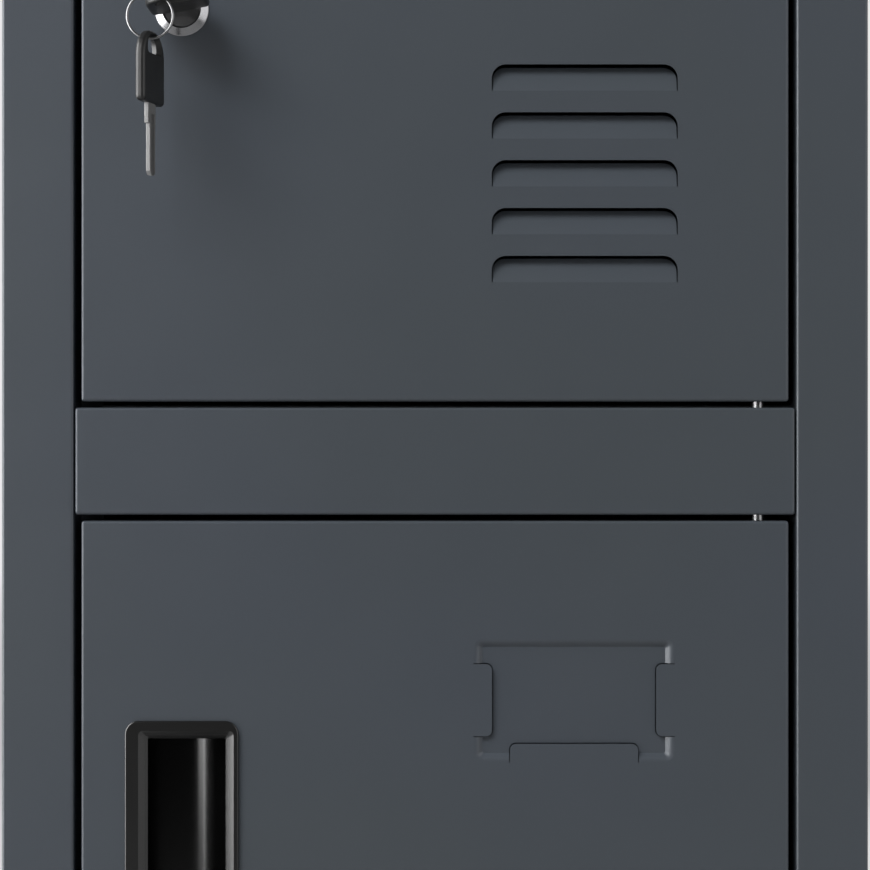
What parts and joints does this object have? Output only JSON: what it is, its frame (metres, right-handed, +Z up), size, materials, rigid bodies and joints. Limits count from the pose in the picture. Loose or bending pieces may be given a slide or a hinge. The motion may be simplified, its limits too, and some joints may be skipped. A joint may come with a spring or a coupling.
{
  "type": "two-door steel locker",
  "caption": "Narrow steel locker column with hinged, louvred doors, cam locks with keys, recessed handles and card holders.",
  "frame": {"origin": "on the floor, midway between the four feet", "axes": "+Z up, +X to the right as seen from the front, -Y towards the front"},
  "size_m": [0.38, 0.4438, 1],
  "materials": {
    "body_paint": "dark grey powder coat, satin, with a fine texture",
    "lock_chrome": "polished chrome plate",
    "plug_plate": "nickel plate, slightly duller",
    "pin_chrome": "bright plated steel",
    "ring_wire": "nickel plated spring wire",
    "key_steel": "nickel plated, milled",
    "key_plastic": "moulded black, fine grain",
    "handle_plastic": "moulded black",
    "zinc": "zinc plated",
    "bush_plastic": "moulded nylon, black",
    "foot_plastic": "moulded polyethylene, black",
    "bumper_rubber": "soft, matt"
  },
  "bodies": {
    "cabinet": {"left_side_panel": "body_paint", "right_side_panel": "body_paint", "back_panel": "body_paint", "back_panel_rivets": "zinc", "top_cover": "body_paint", "top_rail": "body_paint", "middle_rail": "body_paint", "bottom_rail": "body_paint", "middle_shelf": "body_paint", "bottom_panel": "body_paint", "hinge_bushes": "bush_plastic", "frame_screws": "zinc", "frame_nuts": "zinc", "foot_glides": "foot_plastic", "door_bumpers": "bumper_rubber"},
    "lower_door": {"lower_door_panel": "body_paint", "lower_door_stiffener": "body_paint", "lower_hinge_pins": "pin_chrome", "lower_hinge_brackets": "zinc", "lower_handle_cup": "handle_plastic", "lower_lock_housing": "lock_chrome", "lower_lock_nut": "zinc"},
    "lower_lock": {"lower_lock_plug": "plug_plate", "lower_lock_cam": "zinc", "lower_cam_nut": "zinc"},
    "lower_key": {"lower_key_blade": "key_steel", "lower_key_head": "key_plastic"},
    "lower_key_ring": {"lower_key_ring": "ring_wire"},
    "lower_spare_key": {"lower_spare_key_blade": "key_steel", "lower_spare_key_head": "key_plastic"},
    "upper_door": {"upper_door_panel": "body_paint", "upper_door_stiffener": "body_paint", "upper_hinge_pins": "pin_chrome", "upper_hinge_brackets": "zinc", "upper_handle_cup": "handle_plastic", "upper_lock_housing": "lock_chrome", "upper_lock_nut": "zinc"},
    "upper_lock": {"upper_lock_plug": "plug_plate", "upper_lock_cam": "zinc", "upper_cam_nut": "zinc"},
    "upper_key": {"upper_key_blade": "key_steel", "upper_key_head": "key_plastic"},
    "upper_key_ring": {"upper_key_ring": "ring_wire"},
    "upper_spare_key": {"upper_spare_key_blade": "key_steel", "upper_spare_key_head": "key_plastic"}
  },
  "joints": [
    {"name": "lower_door_hinge", "type": "hinge", "parent": "cabinet", "child": "lower_door", "pos_m": [0.1427, -0.191, 0.2777], "axis": [0, 0, 1], "range_deg": [0, 110]},
    {"name": "lower_lock_turn", "type": "hinge", "parent": "lower_door", "child": "lower_lock", "pos_m": [-0.111, -0.2, 0.2417], "axis": [0, -1, 0], "range_deg": [-9.4, 80.6]},
    {"name": "lower_key_slide", "type": "slide", "parent": "lower_lock", "child": "lower_key", "axis": [0, -1, 0], "range_m": [0, 0.026]},
    {"name": "lower_key_ring_swing", "type": "hinge", "parent": "lower_key", "child": "lower_key_ring", "pos_m": [-0.1214, -0.23, 0.2428], "axis": [-1, 0, 0], "range_deg": [-6, 25]},
    {"name": "lower_spare_key_swing", "type": "hinge", "parent": "lower_key_ring", "child": "lower_spare_key", "pos_m": [-0.1214, -0.23, 0.22385], "axis": [-1, 0, 0], "range_deg": [-8, 30]},
    {"name": "upper_door_hinge", "type": "hinge", "parent": "cabinet", "child": "upper_door", "pos_m": [0.1427, -0.191, 0.7461], "axis": [0, 0, 1], "range_deg": [0, 110]},
    {"name": "upper_lock_turn", "type": "hinge", "parent": "upper_door", "child": "upper_lock", "pos_m": [-0.111, -0.2, 0.7101], "axis": [0, -1, 0], "range_deg": [-9.4, 80.6]},
    {"name": "upper_key_slide", "type": "slide", "parent": "upper_lock", "child": "upper_key", "axis": [0, -1, 0], "range_m": [0, 0.026]},
    {"name": "upper_key_ring_swing", "type": "hinge", "parent": "upper_key", "child": "upper_key_ring", "pos_m": [-0.1214, -0.23, 0.7112], "axis": [-1, 0, 0], "range_deg": [-6, 25]},
    {"name": "upper_spare_key_swing", "type": "hinge", "parent": "upper_key_ring", "child": "upper_spare_key", "pos_m": [-0.1214, -0.23, 0.69225], "axis": [-1, 0, 0], "range_deg": [-8, 30]}
  ]
}
